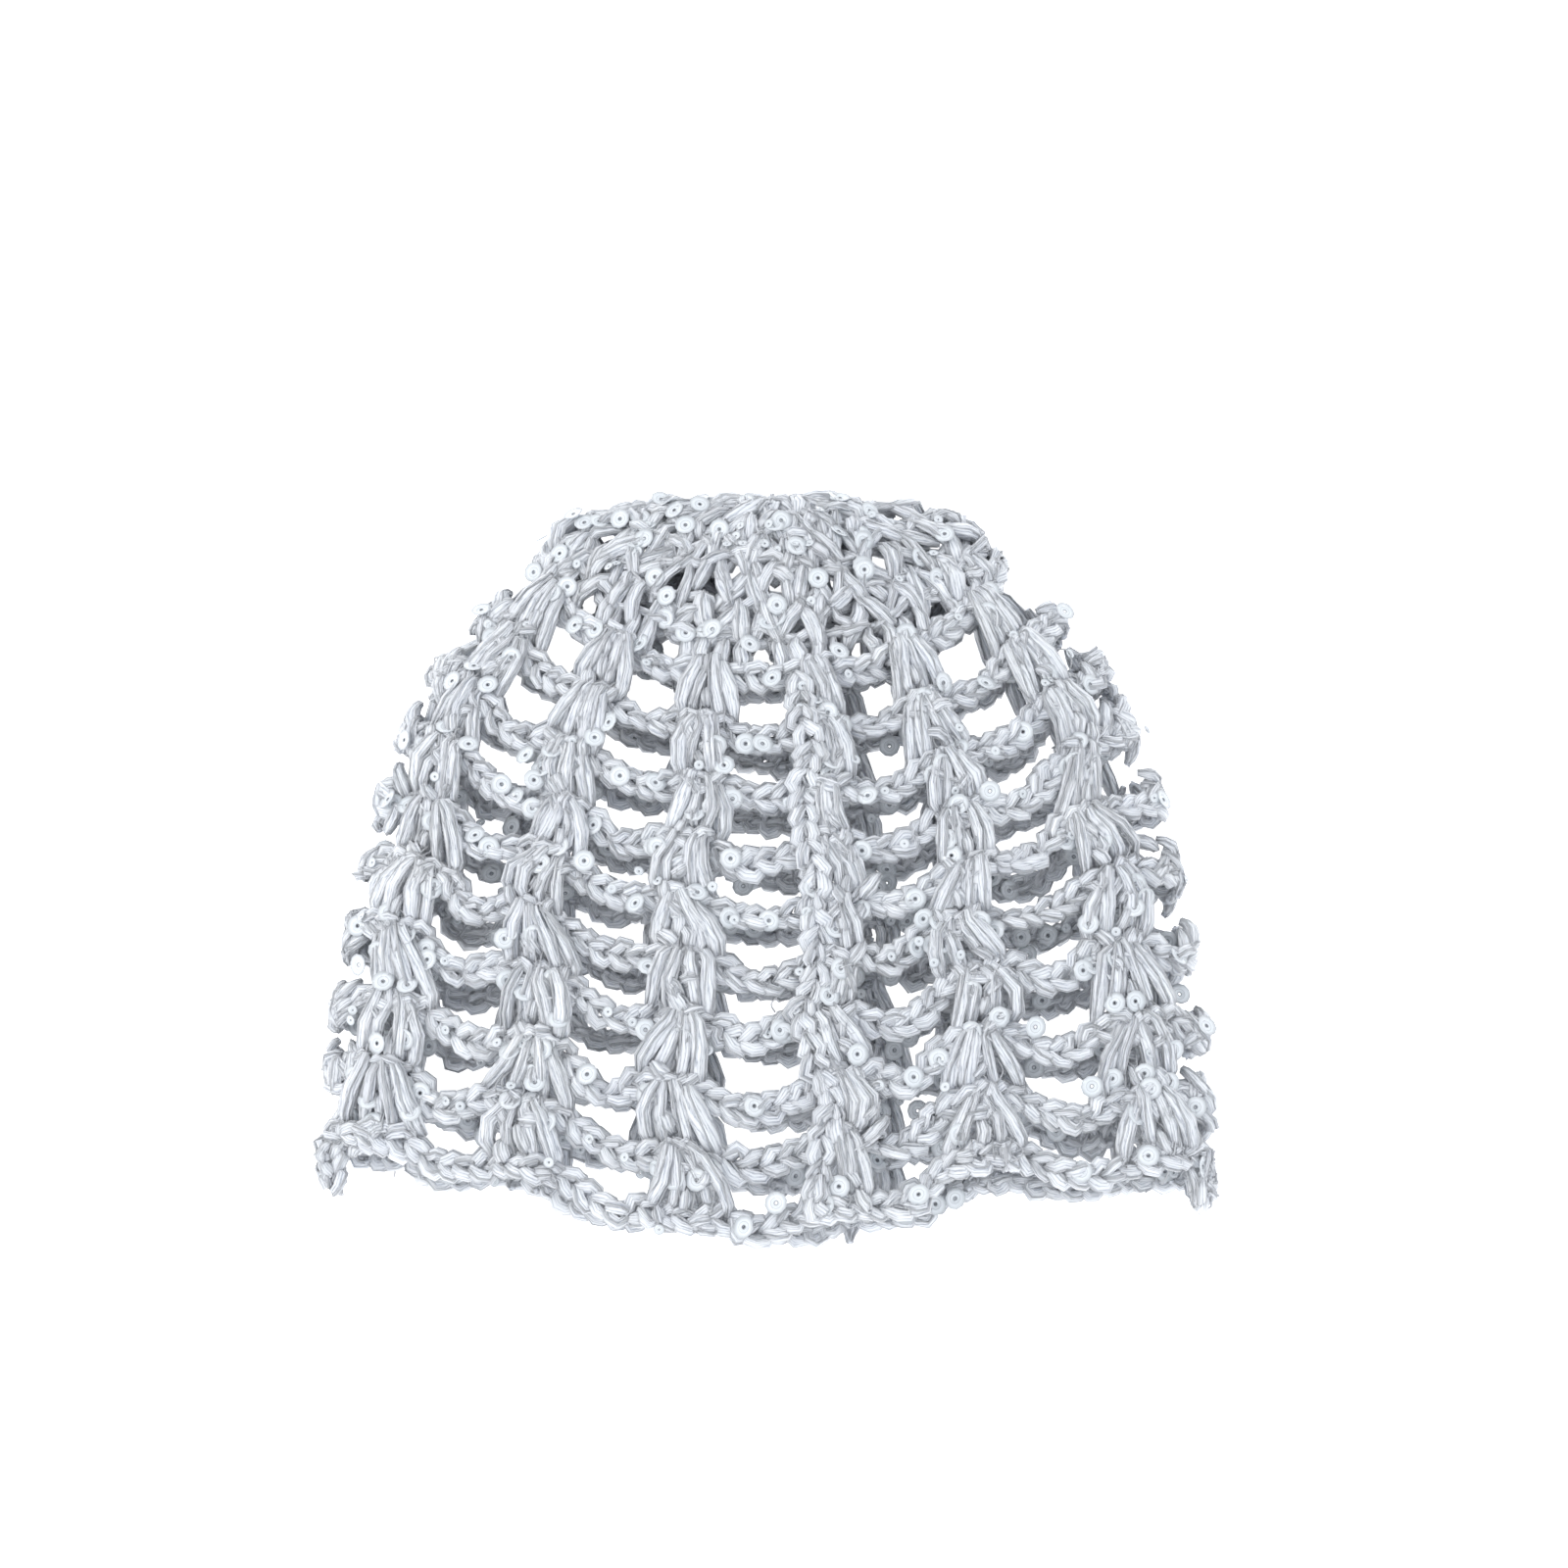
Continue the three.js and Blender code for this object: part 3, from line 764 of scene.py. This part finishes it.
for number in range(1, ROUNDS + 1):
    # Half of a shell's foot and the depth of a swag in millimetres, which grow from round to round.
    top = number - 1
    shell_half = 7.2 + 3.4 * top / (ROUNDS - 1)
    sag = 2.6 + 2.4 * min(top / 4, 1)

    # Posts: across from the rib's middle line in millimetres, at the apex and at the foot.
    chance = np.random.default_rng(600 + number)
    shell_size = 1 + chance.normal(0, 0.09, RIBS)
    shell_aside = chance.normal(0, 0.7, RIBS)
    swag_size = np.clip(1 + chance.normal(0, 0.28, RIBS), 0.6, 1.7 if number < ROUNDS else LAST_SWAG)
    swag_slant = chance.normal(0, 0.18, RIBS)
    ribs = np.repeat(np.arange(RIBS), 4)
    place = np.tile(np.arange(4), RIBS)
    apex_mm = np.array([-3.3, -1.2, 1.2, 3.3])[place]
    foot_mm = np.array([-0.86, -0.36, 0.36, 0.86])[place] * shell_half * shell_size[ribs]
    seam = ribs == SEAM_RIB
    apex_mm = np.where(seam, np.array([-0.6, 0.4, 1.6, 2.9])[place], apex_mm)
    foot_mm = np.where(seam, np.array([-0.05, 0.28, 0.58, 0.9])[place] * shell_half, foot_mm)
    foot_mm = foot_mm + shell_aside[ribs] + chance.normal(0, 0.45, len(ribs))
    keep = ~(seam & (place == 0))
    ribs, apex_mm, foot_mm = ribs[keep], apex_mm[keep], foot_mm[keep]
    _, way, per_rib, per_row = hat_frame(ribs.astype(float), np.full(len(ribs), top + 0.5))
    free = freedom(way)
    aside = np.stack([
        0.55 * apex_mm, apex_mm, 0.75 * apex_mm + 0.25 * foot_mm, 0.2 * apex_mm + 0.88 * foot_mm, foot_mm,
    ], -1)
    head = -4.4 + chance.normal(0, 0.5, len(ribs))
    down = np.stack([head - 1.1, head, head + 3.0, 0.55 * per_row - 2.6, per_row - 4.3], -1)
    out = np.array([-1.4, 1.9, 2.3, 1.6, -0.4]) + free[:, None] * np.array([0, 1.7, 1.9, 1.8, 0.5])
    out[:, 1:4] += chance.normal(0, 0.35, (len(ribs), 1))
    knots = np.stack([ribs[:, None] + aside / per_rib[:, None], top + down / per_row[:, None], out], -1)
    parts = posts(knots, SHELL_WIDE, 300 + number, strays=SHELL_STRAYS)

    # The chain: over each shell it follows the feet of the posts, and beyond them it sags.
    edge = whole_round
    nearest = np.round(edge)
    rib_here = nearest.astype(int) % RIBS
    swag = np.floor(edge).astype(int) % RIBS
    _, way, per_rib, per_row = hat_frame(edge, np.full(len(edge), top + 0.8))
    off = (edge - nearest) * per_rib
    side_size = shell_half * shell_size[rib_here]
    left_half = np.where(rib_here == SEAM_RIB, 5.0, side_size)
    half = np.where(off < 0, left_half, side_size)
    beyond = np.clip((np.abs(off) - half) / np.maximum(1, per_rib / 2 - half), 0, 1)
    tilt_way = swag_slant[swag] * np.sin(2 * math.pi * (edge - np.floor(edge)))
    below = sag * swag_size[swag] * (1 - (1 - beyond) ** 2) * (1 + tilt_way)
    over_shell = smooth(np.clip(1.15 - np.abs(off) / half, 0, 1))
    out = over_shell * (0.9 + 1.7 * freedom(way))
    row = top + 1 + (below - 2.6) / per_row
    roll = 0.55 * np.sin(edge * 2.7 + number) * beyond + 0.3 * np.sin(edge * 6.1 + 2 * number)
    parts.extend(chain(edge, row, out, CHAIN_PITCH, True, roll, 400 + number))

    # Tufts on the shells, then those along the two folds.
    chance = np.random.default_rng(800 + number)
    amount = TUFTS_A_RIB * RIBS
    tuft_rib = np.repeat(np.arange(RIBS), TUFTS_A_RIB)
    rib = tuft_rib + np.tile([-0.07, 0.09, 0.0, -0.09, 0.07], RIBS)
    rib = rib + chance.normal(0, 0.04, amount) + np.where(tuft_rib == SEAM_RIB, 0.1, 0)
    row = top + np.tile([0.0, 0.1, 0.42, 0.72, 0.8], RIBS) + chance.normal(0, 0.09, amount)
    slant = np.tile([0.7, -0.7, 0.0, 0.6, -0.6], RIBS) + chance.normal(0, 0.45, amount)
    _, way, _, _ = hat_frame(rib, row)
    rise = (2.0 + 2.1 * freedom(way)) * chance.uniform(0.85, 1.1, amount)
    parts.extend(tufts(rib, row, chance.uniform(6, 9, amount), slant, rise, 850 + number))
    amount = FOLD_TUFTS * len(FOLD_RIBS)
    rib = np.repeat(FOLD_RIBS, FOLD_TUFTS) + chance.normal(0, 0.15, amount)
    row = number - 0.1 + chance.normal(0, 0.13, amount)
    slant = chance.normal(0, 0.6, amount)
    rise = chance.uniform(0.9, 1.8, amount)
    parts.extend(tufts(rib, row, chance.uniform(8, 11, amount), slant, rise, 950 + number, plump=1.3))
    if number == ROUNDS:
        for corner, wide, drop in CORNER_LOOPS:
            way_along = np.linspace(0, 1, 60)
            loop_rib = corner + wide * np.sin(2 * math.pi * (way_along - 0.5))
            loop_row = ROUNDS - 0.05 + drop * np.sin(math.pi * way_along)
            loop_out = np.full(60, 0.8)
            roll = np.full(60, 0.48)
            seed = 960 + round(corner)
            parts.extend(chain(loop_rib, loop_row, loop_out, CHAIN_PITCH, False, roll, seed))

    # Loose strands: each leaves the stitches, bows aside and outwards, and goes back in.
    amount = LOOSE_STRANDS
    at = np.floor(chance.uniform(0, RIBS, amount)) + chance.normal(0, 0.09, amount)
    row = top + chance.uniform(0.0, 0.75, amount)
    lengthwise = np.array([0, 0.1, 0.24, 0.36, 0.44])[None, :] * chance.uniform(0.7, 1.3, (amount, 1))
    curl = np.array([0, 0.6, 1.0, 0.6, 0])[None, :] * chance.normal(0, 1.6, (amount, 1))
    _, way, per_rib, _ = hat_frame(at, row)
    bow = np.array([0, 1.1, 1.5, 1.1, 0])[None, :] * chance.uniform(0.6, 1.5, (amount, 1))
    out = 1.4 + 1.4 * freedom(way)[:, None] + bow
    knots = np.stack([at[:, None] + curl / per_rib[:, None], row[:, None] + lengthwise, out], -1)
    parts.extend(loose_strands(knots))
    build_piece(f"shell_round_{number}_stitches", parts, yarn, [f"shell_round_{number}"])

# Seam: a column of chain stitches in the same yarn, which runs from round to round beside the fourth
# rib's posts, because each new round is begun there. It lies in front of the shells' chains.
SEAM_OUT = 3.3
SEAM_ASIDE = -4.3
line = np.linspace(-0.05, ROUNDS, 220)
_, _, per_rib, _ = hat_frame(np.full(len(line), float(SEAM_RIB)), line)
seam_rib = SEAM_RIB + (SEAM_ASIDE + 0.7 * np.sin(line * 2 * math.pi)) / per_rib
seam_out = np.full(len(line), SEAM_OUT)
seam_parts = chain(seam_rib, line, seam_out, CHAIN_PITCH, False, 0.3 * np.sin(line * 2.3), 500)
build_piece("seam_chain", seam_parts, yarn, [])

# Sequins: slightly cupped discs of pearly plastic film with a pressed ring and a small hole, in a 6 mm
# and a 3 mm size, hung on the yarn's thread at odd tilts. The colour holds painted shade: dark at the
# hole's edge, darker in the pressed ring and a little darker towards the rim.
sequin = bpy.data.materials.new("sequin_film")
sequin.use_nodes = True
nodes, links = sequin.node_tree.nodes, sequin.node_tree.links
film = nodes["Principled BSDF"]
film.inputs["Transmission Weight"].default_value = 0.12
film.inputs["IOR"].default_value = 1.45
film.inputs["Coat Weight"].default_value = 0.25
film.inputs["Coat Roughness"].default_value = 0.12
film_place = nodes.new("ShaderNodeTexCoord").outputs["Object"]
film_noise = noise_node(film_place, 120)
film_tone = mix_node(film_noise, (0.79, 0.84, 0.88, 1), (0.91, 0.935, 0.96, 1))
_, from_hole = uv_parts()
# Painted shade by distance from the middle: dark at the hole's edge, darker in the pressed ring, a little
# darker towards the rim.
film_ring_shade = nodes.new("ShaderNodeValToRGB")
film_ring_shade.color_ramp.elements[0].position = 0.16
film_ring_shade.color_ramp.elements[0].color = (0.30, 0.31, 0.33, 1)
film_ring_shade.color_ramp.elements[1].position = 0.24
film_ring_shade.color_ramp.elements[1].color = (1, 1, 1, 1)
for ring_place, ring_shade_tone in ((0.44, 0.96), (0.50, 0.70), (0.57, 1.0), (1.0, 0.92)):
    film_ring_shade.color_ramp.elements.new(ring_place).color = (ring_shade_tone, ring_shade_tone, ring_shade_tone, 1)
links.new(from_hole, film_ring_shade.inputs["Fac"])
film_colour_and_shade = mix_node(1.0, film_tone, film_ring_shade.outputs["Color"], "MULTIPLY")
links.new(film_colour_and_shade, film.inputs["Base Color"])
film_rough = range_node(film_noise, {"To Min": 0.18, "To Max": 0.34})
links.new(film_rough, film.inputs["Roughness"])

# A sequin's closed section as shares of its radius: out from the middle of the hole and up, from the
# hole's upper edge over the cupped rim and back underneath. SEQUIN_ROOM is the room in millimetres that
# its rim keeps from the crown's small holes.
SEQUIN_SECTION = np.array([[0.13, 0.02], [0.52, 0.01], [1.00, 0.12], [0.97, 0.06], [0.13, -0.04]])
SEQUIN_SIDES = 10
SEQUIN_ROOM = 1.8


def sequin_discs(places, facings, radius, seed):
    """Discs of the given radius at places, facing facings: the section turned round each facing, with
    the distance from the middle in radii as v."""
    chance = np.random.default_rng(seed)
    sides = SEQUIN_SIDES
    profile = radius * SEQUIN_SECTION
    spin = chance.uniform(0, 2 * math.pi, len(places))
    helper = np.where(np.abs(facings[:, 2:]) < 0.9, np.array([0, 0, 1.0]), np.array([1.0, 0, 0]))
    east = unit(np.cross(helper, facings))
    north = np.cross(facings, east)
    angle = 2 * math.pi * np.arange(sides) / sides
    turned = spin[:, None] + angle[None, :]
    ring = east[:, None, :] * np.cos(turned)[..., None] + north[:, None, :] * np.sin(turned)[..., None]
    flat = ring[:, :, None, :] * profile[None, None, :, :1]
    raised = facings[:, None, None, :] * profile[None, None, :, 1:]
    points = places[:, None, None, :] + flat + raised
    index = np.arange(len(places) * sides * len(profile)).reshape(len(places), sides, len(profile))
    ahead = np.roll(index, -1, axis=1)
    quads = np.stack([index, np.roll(index, -1, 2), np.roll(ahead, -1, 2), ahead], axis=-1)
    outward = np.broadcast_to(SEQUIN_SECTION[:, 0], index.shape)
    v = np.stack([outward, np.roll(outward, -1, 2), np.roll(outward, -1, 2), outward], axis=-1)
    uv = np.stack([np.zeros(v.shape), v], axis=-1)
    return points.reshape(-1, 3), [(quads.reshape(-1, 4), uv.reshape(-1, 4, 2))]


# Below the crown, rather more than half of the sequins sit on the ribs and the others on the chains.
# Those on the back layer lie on its inner side and face up, where they show through the front's gaps.
for name, radius, amount, seed in (("large_sequins", 3.1, 540, 700), ("small_sequins", 1.5, 260, 701)):
    chance = np.random.default_rng(seed)
    at_row = -3.2 + 12.1 * chance.uniform(0, 1, amount) ** 0.8
    at_rib = chance.uniform(0, RIBS, amount)
    below = at_row > 0
    on_rib = chance.uniform(0, 1, amount) < 0.55
    near_rib = np.round(at_rib) + chance.normal(0, 0.14, amount)
    at_rib = np.where(below & on_rib, near_rib, at_rib)
    on_chain = below & ~on_rib
    at_row = np.where(on_chain, np.round(at_row) + 0.06 + chance.normal(0, 0.05, amount), at_row)
    at_row = np.minimum(at_row, 9.05)
    place, outward, _, _ = hat_frame(at_rib, at_row)
    on_back = outward[:, 2] < -0.3
    out = np.where(on_back, -2.8, np.where(on_chain, 3.2, 4.4)) + chance.normal(0, 0.4, amount)
    tilt = unit(chance.standard_normal((amount, 3)))
    facing = unit(np.where(on_back[:, None], -outward, outward) + 0.5 * tilt)
    place = part_yarn((place + outward * out[:, None])[:, None], radius + SEQUIN_ROOM)[:, 0]
    part = sequin_discs(place, facing, radius, seed + 10)
    build_piece(name, [part], sequin, [])
